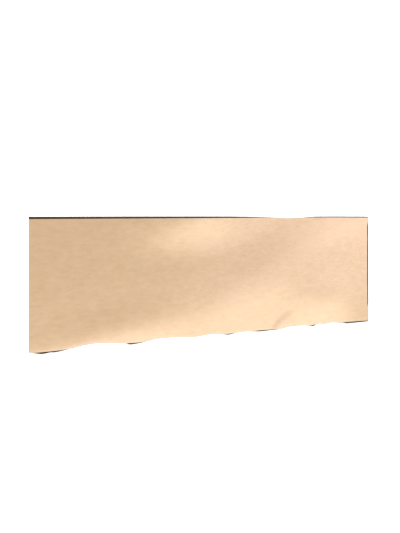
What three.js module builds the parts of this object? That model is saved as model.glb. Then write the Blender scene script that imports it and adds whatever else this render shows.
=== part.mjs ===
// A cut length of wide copper foil tape for stained glass, lying face up on its release liner.
//
// Three thin layers follow one gently rippled sheet: the paper release liner at the bottom, the
// pressure-sensitive adhesive on it, and the rolled copper foil on top. The tape is the foil with
// its adhesive, and it lifts off the liner.
//
// Millimetres, +Z up. +X runs along the tape and +Y across it. Places on the sheet are measured
// from the foil's upper left corner. At the end the part moves so that its origin is on the
// surface that the liner lies on, under the middle of the liner.

import * as THREE from "three";

// Driving dimensions of the foil and of the layers
const foilLength = 305;
const foilWidth = 100.3; // nominally 100, cut by hand just outside the line
const foilThickness = 0.04;
const adhesiveThickness = 0.035;
const linerThickness = 0.1;
const layerGap = 0.01; // air between two stacked layers

// How far the liner stands out past the foil. Its upper strip tapers away along the tape and
// shows again near the right end.
const linerProudLeft = 0.1;
const linerProudRight = 0.1;
const linerProudBottom = 0.15;
const linerProudTop = { left: 1.95, taper: 0.0048, narrow: 0.1, from: 158, to: 222 };
const linerTopReturn = { from: 232, to: 250, proud: 0.65 };

// The sides were cut by hand, so the knife wandered. Each wander is a smooth bump with its
// place, how far it reaches on either side, and its depth into the foil.
const lowerWanders = [
  { at: 3.5, before: 3, after: 54, depth: -0.6 },
  { at: 48, before: 30, after: 36, depth: 2.8 },
  { at: 99.5, before: 16, after: 32, depth: 1.8 },
  { at: 115, before: 12, after: 17, depth: 0.7 },
  { at: 143.5, before: 16.5, after: 20, depth: 1.1 },
  { at: 177, before: 25, after: 7, depth: 0.75 },
  { at: 186.5, before: 9, after: 47, depth: 0.6 },
  { at: 219.5, before: 13.5, after: 28, depth: 1.55 },
  { at: 235, before: 20.5, after: 12, depth: 1 },
  { at: 250, before: 12.5, after: 8.5, depth: 2.45 },
  { at: 261, before: 11, after: 13.5, depth: 2.4 },
  { at: 269.5, before: 8.5, after: 70, depth: 1.25 },
];
const upperWanders = [
  { at: 219, before: 26, after: 26, depth: 0.6 },
  { at: 305, before: 55, after: 10, depth: 0.35 },
];
const endWanders = [{ at: -105, before: 5, after: 42, depth: 0.6 }];

// The foil stops short of the liner's right end, but reaches it at both corners.
const endSetBack = { depth: 1.2, low: [-88, -83], high: [-9.5, -1.5] };

// Below the foil the liner was left wider at these tongues.
const linerTongues = [
  { at: 9.5, before: 8.5, after: 11, depth: 1.3 },
  { at: 18.5, before: 5, after: 12, depth: 0.9 },
  { at: 75, before: 2.5, after: 17, depth: 1.05 },
  { at: 161, before: 8, after: 8.5, depth: 0.75 },
  { at: 190.5, before: 11, after: 24, depth: 0.95 },
  { at: 244.5, before: 6, after: 2.5, depth: 0.95 },
  { at: 279.5, before: 5.5, after: 61, depth: 1.15 },
];

// The sheet lies flat but for a few low swells, each an oval bump that ends at a clean rim:
// its middle, its two half widths, how far it is turned from +X, and its height.
const swells = [
  { x: 134.5, y: 21, along: 126, across: 63.5, turn: 12.5, height: 5.5 },
  { x: 299, y: 9, along: 150, across: 100, turn: 32, height: 2 },
  { x: 265, y: -81.5, along: 67, across: 46, turn: -13.5, height: 1.5 },
  { x: 191, y: -57, along: 32, across: 97, turn: -67, height: 0.46 },
  { x: 53, y: -94.5, along: 35.5, across: 100, turn: -79.5, height: 0.95 },
];

// Squares that the foil is divided into
const columns = 40;
const rows = 8;

const copper = new THREE.MeshStandardMaterial({ color: 0xefc19a, roughness: 0.38, metalness: 1 });
const adhesive = new THREE.MeshStandardMaterial({ color: 0x1c1a19, roughness: 0.6, metalness: 0 });
const kraftPaper = new THREE.MeshStandardMaterial({ color: 0x4a3929, roughness: 0.8, metalness: 0 });

// A smooth bump that is 1 in the middle and exactly 0 from one half width outwards.
function bump(distanceSquared) {
  return Math.max(0, 1 - distanceSquared) ** 3;
}

function sumOfBumps(bumps, place) {
  return bumps.reduce((total, { at, before, after, depth }) => {
    const reach = place < at ? before : after;
    return total + depth * bump(((place - at) / reach) ** 2);
  }, 0);
}

// Height of the liner's underside above the surface that it lies on.
function ripple(x, y) {
  return swells.reduce((total, swell) => {
    const angle = THREE.MathUtils.degToRad(swell.turn);
    const along = ((x - swell.x) * Math.cos(angle) + (y - swell.y) * Math.sin(angle)) / swell.along;
    const across = ((y - swell.y) * Math.cos(angle) - (x - swell.x) * Math.sin(angle)) / swell.across;
    return total + swell.height * bump(along ** 2 + across ** 2);
  }, 0);
}

// The foil's outline.
function foilUpperEdge(x) {
  return -sumOfBumps(upperWanders, x);
}

function foilLowerEdge(x) {
  return -foilWidth + sumOfBumps(lowerWanders, x);
}

function cutEnd(y) {
  return foilLength - sumOfBumps(endWanders, y);
}

function foilRightEnd(y) {
  const { depth, low, high } = endSetBack;
  const start = THREE.MathUtils.smoothstep(y, ...low);
  const end = 1 - THREE.MathUtils.smoothstep(y, ...high);
  return cutEnd(y) - depth * start * end;
}

// The liner's outline.
function linerUpperEdge(x) {
  const { left, taper, narrow, from, to } = linerProudTop;
  const wide = left - taper * x;
  const strip = THREE.MathUtils.lerp(wide, narrow, THREE.MathUtils.smoothstep(x, from, to));
  const returned = THREE.MathUtils.smoothstep(x, linerTopReturn.from, linerTopReturn.to);
  return foilUpperEdge(x) + strip + linerTopReturn.proud * returned;
}

function linerLowerEdge(x) {
  return foilLowerEdge(x) - linerProudBottom - sumOfBumps(linerTongues, x);
}

function linerRightEnd(y) {
  return cutEnd(y) + linerProudRight;
}

// The point of the foil's grid at a column, counted from the left, and a row, counted from the top.
function foilPoint(column, row) {
  const x = (foilLength * column) / columns;
  const y = THREE.MathUtils.lerp(foilUpperEdge(x), foilLowerEdge(x), row / rows);
  return { x: column === columns ? foilRightEnd(y) : x, y };
}

// The liner has the foil's grid and one more line on each side, at its own outline. Its inner
// facets are then parallel to the foil's, and the layers never touch.
function linerPoint(column, row) {
  const innerColumn = THREE.MathUtils.clamp(column - 1, 0, columns);
  const innerRow = THREE.MathUtils.clamp(row - 1, 0, rows);
  const point = foilPoint(innerColumn, innerRow);
  if (row === 0) point.y = linerUpperEdge(point.x);
  if (row === rows + 2) point.y = linerLowerEdge(point.x);
  if (column === 0) point.x = -linerProudLeft;
  if (column === columns + 2) point.x = linerRightEnd(point.y);
  return point;
}

// A sheet without thickness on the given grid points, laid over the ripple.
function rippledSheet(columnCount, rowCount, gridPoint) {
  const sheet = new THREE.PlaneGeometry(1, 1, columnCount, rowCount);
  const position = sheet.attributes.position;
  for (let row = 0; row <= rowCount; row += 1) {
    for (let column = 0; column <= columnCount; column += 1) {
      const { x, y } = gridPoint(column, row);
      position.setXYZ(row * (columnCount + 1) + column, x, y, ripple(x, y));
    }
  }
  return sheet;
}

// The sheet's outline as vertex numbers, anticlockwise seen from above.
function outlineVertices(columnCount, rowCount) {
  const perRow = columnCount + 1;
  const outline = [];
  for (let row = 0; row < rowCount; row += 1) outline.push(row * perRow);
  for (let column = 0; column < columnCount; column += 1) outline.push(rowCount * perRow + column);
  for (let row = rowCount; row > 0; row -= 1) outline.push(row * perRow + columnCount);
  for (let column = columnCount; column > 0; column -= 1) outline.push(column);
  return outline;
}

// A closed layer: the sheet at the layer's upper face, the same sheet turned over at its lower
// face, and a wall round the outline.
function layer(sheet, columnCount, rowCount, bottom, thickness) {
  const count = sheet.attributes.position.count;
  const upper = sheet.clone().translate(0, 0, bottom + thickness);
  const lower = sheet.clone().translate(0, 0, bottom);
  const upperFaces = Array.from(sheet.index.array);
  const lowerFaces = upperFaces.map((vertex) => vertex + count).reverse();
  const outline = outlineVertices(columnCount, rowCount);
  const wallFaces = outline.flatMap((vertex, step) => {
    const next = outline[(step + 1) % outline.length];
    return [vertex, vertex + count, next + count, vertex, next + count, next];
  });
  const positions = [...upper.attributes.position.array, ...lower.attributes.position.array];
  const geometry = new THREE.BufferGeometry();
  geometry.setAttribute("position", new THREE.Float32BufferAttribute(positions, 3));
  geometry.setIndex([...upperFaces, ...lowerFaces, ...wallFaces]);
  geometry.computeVertexNormals();
  return geometry;
}

function namedMesh(name, geometry, material) {
  const mesh = new THREE.Mesh(geometry, material);
  mesh.name = name;
  return mesh;
}

function releaseLiner() {
  const sheet = rippledSheet(columns + 2, rows + 2, linerPoint);
  const geometry = layer(sheet, columns + 2, rows + 2, 0, linerThickness);
  return namedMesh("release_liner", geometry, kraftPaper);
}

// The adhesive and the foil have the same outline and lie one above the other.
function tapeLayer(name, bottom, thickness, material) {
  const sheet = rippledSheet(columns, rows, foilPoint);
  return namedMesh(name, layer(sheet, columns, rows, bottom, thickness), material);
}

const adhesiveBottom = linerThickness + layerGap;
const foilUnderside = adhesiveBottom + adhesiveThickness + layerGap;

const liner = releaseLiner();
const tape = new THREE.Group();
tape.add(tapeLayer("adhesive_layer", adhesiveBottom, adhesiveThickness, adhesive));
tape.add(tapeLayer("copper_foil", foilUnderside, foilThickness, copper));

const copperFoilTape = new THREE.Group();
copperFoilTape.add(liner, tape);

// Moves every layer so that the middle of the liner's box is over the origin.
liner.geometry.computeBoundingBox();
const middle = liner.geometry.boundingBox.getCenter(new THREE.Vector3());
[liner, ...tape.children].forEach((mesh) => mesh.geometry.translate(-middle.x, -middle.y, 0));

export default copperFoilTape;
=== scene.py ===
"""A cut length of wide copper foil tape for stained glass, face up on its release liner.

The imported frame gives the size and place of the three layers. This script lays smooth sheets over
the same ripples, with the crease, grain and drawn edges of real foil, and lights them.
Metres, +X along the tape, +Y across it, +Z up.
"""

import math

import bpy
import numpy as np
from mathutils import Matrix, Vector


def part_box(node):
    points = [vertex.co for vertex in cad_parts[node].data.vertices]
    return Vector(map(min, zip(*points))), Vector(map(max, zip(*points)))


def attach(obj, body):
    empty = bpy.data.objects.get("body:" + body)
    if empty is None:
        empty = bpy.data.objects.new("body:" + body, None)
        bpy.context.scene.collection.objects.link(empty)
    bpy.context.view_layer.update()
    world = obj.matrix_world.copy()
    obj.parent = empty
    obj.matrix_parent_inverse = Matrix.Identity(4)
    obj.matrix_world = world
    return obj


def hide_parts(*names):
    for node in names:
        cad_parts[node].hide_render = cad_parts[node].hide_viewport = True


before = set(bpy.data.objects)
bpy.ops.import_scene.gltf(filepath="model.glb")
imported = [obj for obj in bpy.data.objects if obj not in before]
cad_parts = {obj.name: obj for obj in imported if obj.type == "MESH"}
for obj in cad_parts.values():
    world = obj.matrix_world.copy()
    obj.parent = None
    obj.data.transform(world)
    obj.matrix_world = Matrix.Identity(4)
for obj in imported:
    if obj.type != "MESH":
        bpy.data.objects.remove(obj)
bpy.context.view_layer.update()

MM = 0.001

# The camera, held by hand over the foil's upper left corner
CAMERA_FROM_CORNER = (33.1 * MM, -3.7 * MM, 338.0 * MM)
CAMERA_TURN = (1.265, -16.875, -0.55)  # degrees
CAMERA_LENS = 27.96  # focal length for a sensor 36 mm wide
CAMERA_SHIFT = -0.0975

# ---------------------------------------------------------------- the sheet's shape
#
# Places on the sheet are measured from the foil's upper left corner, as in the frame's part.

foil_low, foil_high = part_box("copper_foil")
CORNER = Vector((foil_low.x, foil_high.y, 0))

FOIL_LENGTH = 305 * MM
FOIL_WIDTH = 100.3 * MM
FOIL_THICKNESS = 0.04 * MM
ADHESIVE_THICKNESS = 0.035 * MM
LINER_THICKNESS = 0.1 * MM
LAYER_GAP = 0.01 * MM

# How far the liner stands out past the foil. The dark strip that shows is painted shadow as well as
# liner: its width follows the shadow line along the foil's edges. Its upper strip tapers along the tape,
# narrows between a start and an end, and shows again near the right end.
LINER_PROUD_LEFT = 0.1 * MM
LINER_PROUD_RIGHT = 0.1 * MM
LINER_PROUD_BOTTOM = 0.15 * MM
LINER_PROUD_TOP = {"left": 1.95 * MM, "taper": 0.0048, "narrow": 0.1 * MM}
LINER_TOP_NARROWS = (158 * MM, 222 * MM)
LINER_TOP_RETURN = {"start": 232 * MM, "end": 250 * MM, "proud": 0.65 * MM}

# The hand-cut sides in millimetres: place, reach before and after it, and depth of each smooth bump
LOWER_WANDERS = [
    (3.5, 3, 54, -0.6),
    (48, 30, 36, 2.8),
    (99.5, 16, 32, 1.8),
    (115, 12, 17, 0.7),
    (143.5, 16.5, 20, 1.1),
    (177, 25, 7, 0.75),
    (186.5, 9, 47, 0.6),
    (219.5, 13.5, 28, 1.55),
    (235, 20.5, 12, 1.0),
    (250, 12.5, 8.5, 2.45),
    (261, 11, 13.5, 2.4),
    (269.5, 8.5, 70, 1.25),
]
UPPER_WANDERS = [(219, 26, 26, 0.6), (305, 55, 10, 0.35)]
END_WANDERS = [(-105, 5, 42, 0.6)]

# The foil stops short of the liner's right end, but reaches it at both corners
END_SET_BACK = {"depth": 1.2 * MM, "low": (-88 * MM, -83 * MM), "high": (-9.5 * MM, -1.5 * MM)}
END_REACH = 15 * MM  # the grid closes up over this length towards the right end

# Below the foil the liner was left wider at these tongues. Their dark rim is painted shadow: it stands
# for the thin shadow under the foil's lower side.
LINER_SHADOW_TONGUES = [
    (9.5, 8.5, 11, 1.3),
    (18.5, 5, 12, 0.9),
    (75, 2.5, 17, 1.05),
    (161, 8, 8.5, 0.75),
    (190.5, 11, 24, 0.95),
    (244.5, 6, 2.5, 0.95),
    (279.5, 5.5, 61, 1.15),
]

# Low swells in millimetres: middle x and y, half widths along and across, turn and height
SWELLS = [
    (134.5, 21, 126, 63.5, 12.5, 5.5),
    (299, 9, 150, 100, 32, 2),
    (265, -81.5, 67, 46, -13.5, 1.5),
    (191, -57, 32, 97, -67, 0.46),
    (53, -94.5, 35.5, 100, -79.5, 0.95),
]

# The small curved crease by the lower side: an arc about a middle that lies outside the foil
CREASE = {"x": 235 * MM, "y": -122 * MM, "radius": 38.5 * MM, "rim": 3.6 * MM, "height": 0.46 * MM}
CREASE_TURN = 137  # where on the arc it is highest, in degrees from +X
CREASE_SPREAD = 50  # degrees from there to either end

# A short wrinkle in the upper side
PINCH = {"x": 248 * MM, "along": 7 * MM, "across": 3 * MM, "depth": 0.2 * MM}

# Shallow dents from handling. Each is longer than it is wide by the stretch.
DENT_SEED = 11
DENT_COUNT = 110
DENT_STRETCH = 1.6
DENT_REACH = (3 * MM, 8 * MM)
DENT_DEPTH = (0.004 * MM, 0.02 * MM)

GRID_STEP = 0.9 * MM
EDGE_LINES = [0.0, 0.15 * MM, 0.35 * MM, 0.65 * MM]  # finer grid lines beside each edge

# Beside its outline the blade drew the foil thinner, by this share of its thickness
DRAWN_WIDTH = 1.0 * MM
DRAWN_THINNING = 0.6
SHARP_ANGLE = 40  # degrees: the walls round each layer are shaded apart from its faces


def bump(distance_squared):
    """1 in the middle, and exactly 0 from one half width outwards."""
    return np.maximum(0, 1 - distance_squared) ** 3


def sum_of_bumps(bumps, place):
    """The depth that the listed bumps add up to at each place, which is in metres."""
    total = np.zeros_like(place)
    for at, before, after, depth in bumps:
        reach = np.where(place < at * MM, before * MM, after * MM)
        total += depth * MM * bump(((place - at * MM) / reach) ** 2)
    return total


def smoothstep(x, start, end):
    """From 0 at the start to 1 at the end, level at both."""
    t = np.clip((x - start) / (end - start), 0, 1)
    return t * t * (3 - 2 * t)


def crease(x, y):
    """The small curved crease: a shallow blister whose rim is steep on one side and fades round."""
    dx, dy = x - CREASE["x"], y - CREASE["y"]
    radius = np.hypot(dx, dy)
    rim = smoothstep(-radius, -CREASE["radius"] - CREASE["rim"], -CREASE["radius"] + CREASE["rim"])
    dome = smoothstep(radius, 0, CREASE["radius"])
    angle = np.degrees(np.arctan2(dy, dx))
    return CREASE["height"] * rim * dome * bump(((angle - CREASE_TURN) / CREASE_SPREAD) ** 2)


def edge_pinch(x, y):
    """A short wrinkle pressed into the upper side."""
    along, across = (x - PINCH["x"]) / PINCH["along"], y / PINCH["across"]
    return -PINCH["depth"] * bump(along * along + across * across)


def handling_dents(x, y):
    random = np.random.default_rng(DENT_SEED)
    height = np.zeros_like(x)
    for _ in range(DENT_COUNT):
        middle_x, middle_y = random.uniform(0, FOIL_LENGTH), random.uniform(-FOIL_WIDTH, 0)
        reach = random.uniform(*DENT_REACH)
        along, across = (x - middle_x) / (DENT_STRETCH * reach), (y - middle_y) / reach
        depth = random.choice([-1, 1]) * random.uniform(*DENT_DEPTH)
        height += depth * bump(along * along + across * across)
    return height


def ripple(x, y):
    """Height of the liner's underside above the floor. No dent reaches below the floor."""
    deepest_dent = DENT_DEPTH[1]
    height = deepest_dent + handling_dents(x, y) + crease(x, y) + edge_pinch(x, y)
    for middle_x, middle_y, along, across, turn, peak in SWELLS:
        cos, sin = math.cos(math.radians(turn)), math.sin(math.radians(turn))
        dx, dy = x - middle_x * MM, y - middle_y * MM
        p = (dx * cos + dy * sin) / (along * MM)
        q = (dy * cos - dx * sin) / (across * MM)
        height += peak * MM * bump(p * p + q * q)
    return height


def foil_upper_edge(x):
    return -sum_of_bumps(UPPER_WANDERS, x)


def foil_lower_edge(x):
    return -FOIL_WIDTH + sum_of_bumps(LOWER_WANDERS, x)


def cut_end(y):
    return FOIL_LENGTH - sum_of_bumps(END_WANDERS, y)


def foil_right_end(y):
    start = smoothstep(y, *END_SET_BACK["low"])
    end = 1 - smoothstep(y, *END_SET_BACK["high"])
    return cut_end(y) - END_SET_BACK["depth"] * start * end


def liner_upper_edge(x):
    top, back = LINER_PROUD_TOP, LINER_TOP_RETURN
    wide = top["left"] - top["taper"] * x
    strip = wide + (top["narrow"] - wide) * smoothstep(x, *LINER_TOP_NARROWS)
    return foil_upper_edge(x) + strip + back["proud"] * smoothstep(x, back["start"], back["end"])


def liner_lower_edge(x):
    return foil_lower_edge(x) - LINER_PROUD_BOTTOM - sum_of_bumps(LINER_SHADOW_TONGUES, x)


def graded_lines(length):
    """Distances from 0 to length, close together beside both ends."""
    inner = np.arange(EDGE_LINES[-1] + GRID_STEP, length - EDGE_LINES[-1] - GRID_STEP / 2, GRID_STEP)
    near = np.array(EDGE_LINES)
    return np.concatenate([near, inner, (length - near)[::-1]])


def foil_grid():
    """x and y of the foil's grid points, one row per grid line across the tape."""
    x = graded_lines(FOIL_LENGTH)
    down = graded_lines(FOIL_WIDTH) / FOIL_WIDTH
    upper, lower = foil_upper_edge(x), foil_lower_edge(x)
    y = upper + np.outer(down, lower - upper)
    x = np.broadcast_to(x, y.shape)
    near_end = smoothstep(x, FOIL_LENGTH - END_REACH, FOIL_LENGTH)
    return x + near_end * (foil_right_end(y) - FOIL_LENGTH), y


def liner_grid():
    """The foil's grid with one more line on each side, at the liner's own outline."""
    x, y = (np.pad(places, 1, mode="edge") for places in foil_grid())
    y[0] = liner_upper_edge(x[0])
    y[-1] = liner_lower_edge(x[-1])
    x[:, 0] = -LINER_PROUD_LEFT
    x[:, -1] = cut_end(y[:, -1]) + LINER_PROUD_RIGHT
    return x, y


def drawn_edge(x, y):
    """From 0 inside the foil to 1 at its outline, where the blade thinned it."""
    beside = np.minimum(x, foil_right_end(y) - x)
    across = np.minimum(foil_upper_edge(x) - y, y - foil_lower_edge(x))
    return np.clip(1 - np.minimum(beside, across) / DRAWN_WIDTH, 0, 1) ** 2


def sheet_faces(rows, columns):
    """Quads of the upper sheet, the lower sheet and the wall round the outline."""
    index = np.arange(rows * columns).reshape(rows, columns)
    below = rows * columns
    corners = [index[:-1, :-1], index[1:, :-1], index[1:, 1:], index[:-1, 1:]]
    upper = np.stack(corners, -1).reshape(-1, 4)
    outline = np.concatenate([index[:-1, 0], index[-1, :-1], index[:0:-1, -1], index[0, :0:-1]])
    following = np.roll(outline, -1)
    walls = np.stack([outline, outline + below, following + below, following], -1)
    return np.vstack([upper, upper[:, ::-1] + below, walls])


def add_attribute(mesh, name, values):
    attribute = mesh.attributes.new(name, "FLOAT", "POINT")
    attribute.data.foreach_set("value", values.astype(np.float32))


def add_flat_map(mesh, points):
    """A texture map that lays the sheet out flat, in metres."""
    corners = np.empty(len(mesh.loops), np.int32)
    mesh.loops.foreach_get("vertex_index", corners)
    mesh.uv_layers.new(name="flat").data.foreach_set("uv", points[corners, :2].ravel())


def layer_object(name, grid, bottom, thickness, thinning=0.0):
    """A closed sheet that follows the ripple, from bottom up by its thickness."""
    x, y = grid
    under = ripple(x, y) + bottom
    edge = drawn_edge(x, y)
    over = under + thickness * (1 - thinning * edge)
    sheets = [np.stack([x, y, z], -1).reshape(-1, 3) for z in (over, under)]
    points = np.concatenate(sheets) + np.array(CORNER)
    mesh = bpy.data.meshes.new(name)
    mesh.from_pydata(points.tolist(), [], sheet_faces(*x.shape).tolist())
    add_flat_map(mesh, points)
    mesh.polygons.foreach_set("use_smooth", [True] * len(mesh.polygons))
    mesh.set_sharp_from_angle(angle=math.radians(SHARP_ANGLE))
    add_attribute(mesh, "edge", np.tile(edge.ravel(), 2))
    add_attribute(mesh, "upper", np.repeat([1.0, 0.0], x.size))
    obj = bpy.data.objects.new(name, mesh)
    bpy.context.scene.collection.objects.link(obj)
    return obj


# ---------------------------------------------------------------- materials

NOISE_RANGE = (0.3, 0.7)  # most values of a noise lie between these two

COPPER_DARK = (0.892, 0.596, 0.362)
COPPER_PALE = (1.0, 0.703, 0.459)
TARNISH = (0.88, 0.70, 0.44)
MOST_TARNISH = 0.12  # how far the tarnish ever covers the copper
# Paler copper along the cut outline: partly burnished metal, partly a painted highlight where the edge
# catches the light
BURNISH_AND_EDGE_HIGHLIGHT = (0.98, 0.80, 0.60)
MOST_BURNISH_AND_HIGHLIGHT = 0.6  # how far the drawn edge takes the paler colour: burnished metal with a painted highlight


class Shader:
    """A new material with its Principled shader, and short ways to add nodes to it."""

    def __init__(self, name):
        self.material = bpy.data.materials.new(name)
        self.material.use_nodes = True
        self.nodes = self.material.node_tree.nodes
        self.links = self.material.node_tree.links
        self.principled = self.nodes["Principled BSDF"]
        self.place = self.nodes.new("ShaderNodeTexCoord").outputs["Object"]

    def set(self, **values):
        for socket, value in values.items():
            self.principled.inputs[socket.replace("_", " ")].default_value = value

    def noise(self, stretch, scale, detail, roughness=0.5):
        """Noise whose grains are 1/scale metres across, stretched along each axis."""
        mapping = self.nodes.new("ShaderNodeMapping")
        mapping.inputs["Scale"].default_value = [scale / s for s in stretch]
        self.links.new(self.place, mapping.inputs["Vector"])
        noise = self.nodes.new("ShaderNodeTexNoise")
        noise.inputs["Scale"].default_value = 1
        noise.inputs["Detail"].default_value = detail
        noise.inputs["Roughness"].default_value = roughness
        self.links.new(mapping.outputs["Vector"], noise.inputs["Vector"])
        return noise.outputs["Fac"]

    def remap(self, value, low, high):
        """Spread the range that noise mostly lies in over low to high."""
        node = self.nodes.new("ShaderNodeMapRange")
        node.inputs["From Min"].default_value = NOISE_RANGE[0]
        node.inputs["From Max"].default_value = NOISE_RANGE[1]
        node.inputs["To Min"].default_value = low
        node.inputs["To Max"].default_value = high
        self.links.new(value, node.inputs["Value"])
        return node.outputs["Result"]

    def math(self, operation, a, b):
        node = self.nodes.new("ShaderNodeMath")
        node.operation = operation
        for socket, value in zip(node.inputs, (a, b)):
            if isinstance(value, (int, float)):
                socket.default_value = value
            else:
                self.links.new(value, socket)
        return node.outputs["Value"]

    def blend(self, factor, first, second):
        """The first colour where factor is 0, the second where it is 1. Each is a tuple or a socket."""
        node = self.nodes.new("ShaderNodeMix")
        node.data_type = "RGBA"
        self.links.new(factor, node.inputs[0])
        sockets = [socket for socket in node.inputs if socket.type == "RGBA"]
        for socket, colour in zip(sockets, (first, second)):
            if isinstance(colour, tuple):
                socket.default_value = (*colour, 1)
            else:
                self.links.new(colour, socket)
        return next(socket for socket in node.outputs if socket.type == "RGBA")

    def mix_of(self, *weighted):
        """The sum of several values, each times its weight."""
        total = 0.0
        for value, weight in weighted:
            total = self.math("ADD", self.math("MULTIPLY", value, weight), total)
        return total

    def attribute(self, name):
        node = self.nodes.new("ShaderNodeAttribute")
        node.attribute_name = name
        return node.outputs["Fac"]

    def bump(self, height, distance):
        """Relief too fine to model: height is in units of the distance."""
        node = self.nodes.new("ShaderNodeBump")
        node.inputs["Distance"].default_value = distance
        self.links.new(height, node.inputs["Height"])
        self.links.new(node.outputs["Normal"], self.principled.inputs["Normal"])

    def drive(self, socket, value):
        self.links.new(value, self.principled.inputs[socket])


def copper_material():
    """Satin rolled copper: short streaks of grain along the tape, soft clouding, and cut edges painted
    paler, partly burnished metal and partly a painted edge highlight.
    """
    shader = Shader("rolled_copper")
    shader.set(Metallic=1.0)
    grain = shader.noise((2.6, 1, 1), 900, detail=3, roughness=0.6)
    streaks = shader.noise((2.4, 1, 1), 330, detail=3, roughness=0.6)
    blotches = shader.noise((1.3, 1, 1), 140, detail=3, roughness=0.6)
    clouds = shader.noise((1.6, 1, 1), 22, detail=2)
    tone = shader.mix_of((grain, 0.25), (streaks, 0.4), (blotches, 0.35))
    clean = shader.blend(shader.remap(tone, 0, 1), COPPER_DARK, COPPER_PALE)
    tarnished = shader.blend(shader.remap(clouds, 0, MOST_TARNISH), clean, TARNISH)
    # Painted highlight with burnished metal: the copper is painted paler along the cut outline
    drawn = shader.math("MULTIPLY", shader.attribute("edge"), MOST_BURNISH_AND_HIGHLIGHT)
    shader.drive("Base Color", shader.blend(drawn, tarnished, BURNISH_AND_EDGE_HIGHLIGHT))
    shader.drive("Roughness", shader.remap(tone, 0.215, 0.245))
    shader.bump(shader.mix_of((grain, 1.0), (streaks, 1.5), (blotches, 1.5)), 0.004 * MM)
    return shader.material


def adhesive_material():
    """Black acrylic adhesive with the faint orange peel of a coated film."""
    shader = Shader("black_acrylic_adhesive")
    shader.set(Roughness=0.3, IOR=1.48)
    peel = shader.noise((1, 1, 1), 700, detail=3)
    black = shader.blend(shader.remap(peel, 0, 1), (0.012, 0.011, 0.010), (0.03, 0.027, 0.024))
    shader.drive("Base Color", black)
    shader.bump(peel, 0.02 * MM)
    return shader.material


def kraft_painted_shadow_material():
    """Dark brown kraft paper with fibres and a faint mottle, painted far darker than kraft so that its
    rim past the foil is a painted shadow line; its upper face has a smooth release coat.
    """
    shader = Shader("kraft_paper_painted_shadow")
    shader.set(Specular_IOR_Level=0.06)
    fibres = shader.noise((6, 1, 1), 1500, detail=4, roughness=0.65)
    mottle = shader.noise((1, 1, 1), 160, detail=3)
    tone = shader.remap(shader.mix_of((fibres, 0.5), (mottle, 0.5)), 0, 1)
    coat = shader.math("MULTIPLY", shader.attribute("upper"), 0.25)
    # Painted shadow: this brown is far darker than kraft, dark enough for the liner's rim to stand for
    # the shadow along the foil's edges
    shader.drive("Base Color", shader.blend(tone, (0.034, 0.019, 0.009), (0.058, 0.034, 0.017)))
    shader.drive("Roughness", shader.math("SUBTRACT", 0.75, coat))
    shader.bump(fibres, 0.01 * MM)
    return shader.material


def floor_material():
    """A pale matt board with a barely visible mottle."""
    shader = Shader("pale_floor")
    shader.set(Roughness=0.9)
    mottle = shader.noise((1, 1, 1), 30, detail=3)
    pale = shader.blend(shader.remap(mottle, 0, 1), (0.93, 0.93, 0.93), (0.95, 0.95, 0.95))
    shader.drive("Base Color", pale)
    return shader.material


# ---------------------------------------------------------------- the three layers


def add_layer(name, node, body, grid, bottom, thickness, material, thinning=0.0):
    """A layer that rides its body and stands for its node."""
    obj = layer_object(name, grid, bottom, thickness, thinning)
    obj.data.materials.append(material)
    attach(obj, body)
    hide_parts(node)


ADHESIVE_BOTTOM = LINER_THICKNESS + LAYER_GAP
FOIL_UNDERSIDE = ADHESIVE_BOTTOM + ADHESIVE_THICKNESS + LAYER_GAP

add_layer("liner_sheet", "release_liner", "release_liner",
          liner_grid(), 0, LINER_THICKNESS, kraft_painted_shadow_material())
add_layer("adhesive_sheet", "adhesive_layer", "tape",
          foil_grid(), ADHESIVE_BOTTOM, ADHESIVE_THICKNESS, adhesive_material())
add_layer("foil_sheet", "copper_foil", "tape",
          foil_grid(), FOIL_UNDERSIDE, FOIL_THICKNESS, copper_material(), DRAWN_THINNING)


# ---------------------------------------------------------------- stage, camera and light


def add_floor():
    """A pale board just under the liner, so that the two never share a plane."""
    bpy.ops.mesh.primitive_plane_add(size=6, location=(0, 0, -0.02 * MM))
    floor = bpy.context.object
    floor.name = "floor"
    floor.data.materials.append(floor_material())


def add_camera():
    """Above the foil's upper left corner, tilted along the tape."""
    data = bpy.data.cameras.new("camera")
    data.lens = CAMERA_LENS
    data.sensor_width = 36
    data.shift_y = CAMERA_SHIFT
    camera = bpy.data.objects.new("camera", data)
    bpy.context.scene.collection.objects.link(camera)
    camera.location = CORNER + Vector(CAMERA_FROM_CORNER)
    camera.rotation_euler = [math.radians(angle) for angle in CAMERA_TURN]
    bpy.context.scene.camera = camera


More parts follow.
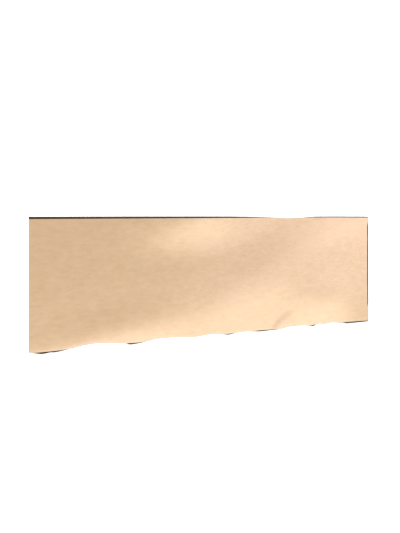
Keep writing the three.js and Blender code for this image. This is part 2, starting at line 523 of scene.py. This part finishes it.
def area_light(name, size, radiance, colour=(1, 1, 1)):
    """A rectangular soft light whose face has the given radiance."""
    data = bpy.data.lights.new(name, "AREA")
    data.shape = "RECTANGLE"
    data.size, data.size_y = size
    data.energy = math.pi * size[0] * size[1] * radiance
    data.color = colour
    light = bpy.data.objects.new(name, data)
    bpy.context.scene.collection.objects.link(light)
    return light


def ceiling_panel(name, middle, steps_down, size, turn, radiance, colour):
    """A soft light that hangs level above the tape and shines straight down."""
    light = area_light(name, size, radiance, colour)
    height = CEILING - steps_down * PANEL_STEP
    place = Matrix.Translation(PANELS_FROM + Vector((*middle, height)))
    light.matrix_world = place @ Matrix.Rotation(math.radians(turn), 4, "Z")


def side_fill(name, direction, size, radiance):
    """A soft light low at the side, which brightens the floor and doesn't flare in the foil."""
    light = area_light(name, size, radiance)
    light.visible_glossy = False
    away = Vector(direction).normalized()
    facing = away.to_track_quat("Z", "Y").to_matrix().to_4x4()
    light.matrix_world = Matrix.Translation(away * FILL_DISTANCE) @ facing


def add_world(colour):
    world = bpy.data.worlds.new("room")
    world.use_nodes = True
    world.node_tree.nodes["Background"].inputs["Color"].default_value = (*colour, 1)
    bpy.context.scene.world = world


# The level panels are placed from a point near the foil's middle. Overlapping panels hang a step
# apart, because level ones would hide each other.
PANELS_FROM = CORNER + Vector((152.6 * MM, -49.85 * MM, 0))
CEILING = 1.2
PANEL_STEP = 2 * MM
FILL_DISTANCE = 1.5

add_floor()
add_camera()
add_world((0.721, 0.710, 0.697))
ceiling_panel("end_panel", (1.263, -0.055), 0, (1.43, 0.438), -26.8, 0.407, (0.706, 0.751, 1.0))
ceiling_panel("near_panel", (0.436, -0.648), 1, (1.534, 0.678), 6.5, 0.69, (0.735, 0.855, 1.0))
ceiling_panel("strip_panel", (0.859, -0.065), 2, (1.036, 0.08), 20, 0.793, (0.593, 0.689, 1.0))
side_fill("left_fill", (-0.8, 0.2, 0.5), (1.2, 1.2), 2.4)
side_fill("back_fill", (0.0, 0.85, 0.5), (1.6, 1.0), 6.0)
side_fill("front_fill", (0.0, -0.85, 0.5), (1.6, 1.0), 4.0)
bpy.context.scene.view_settings.view_transform = "Standard"
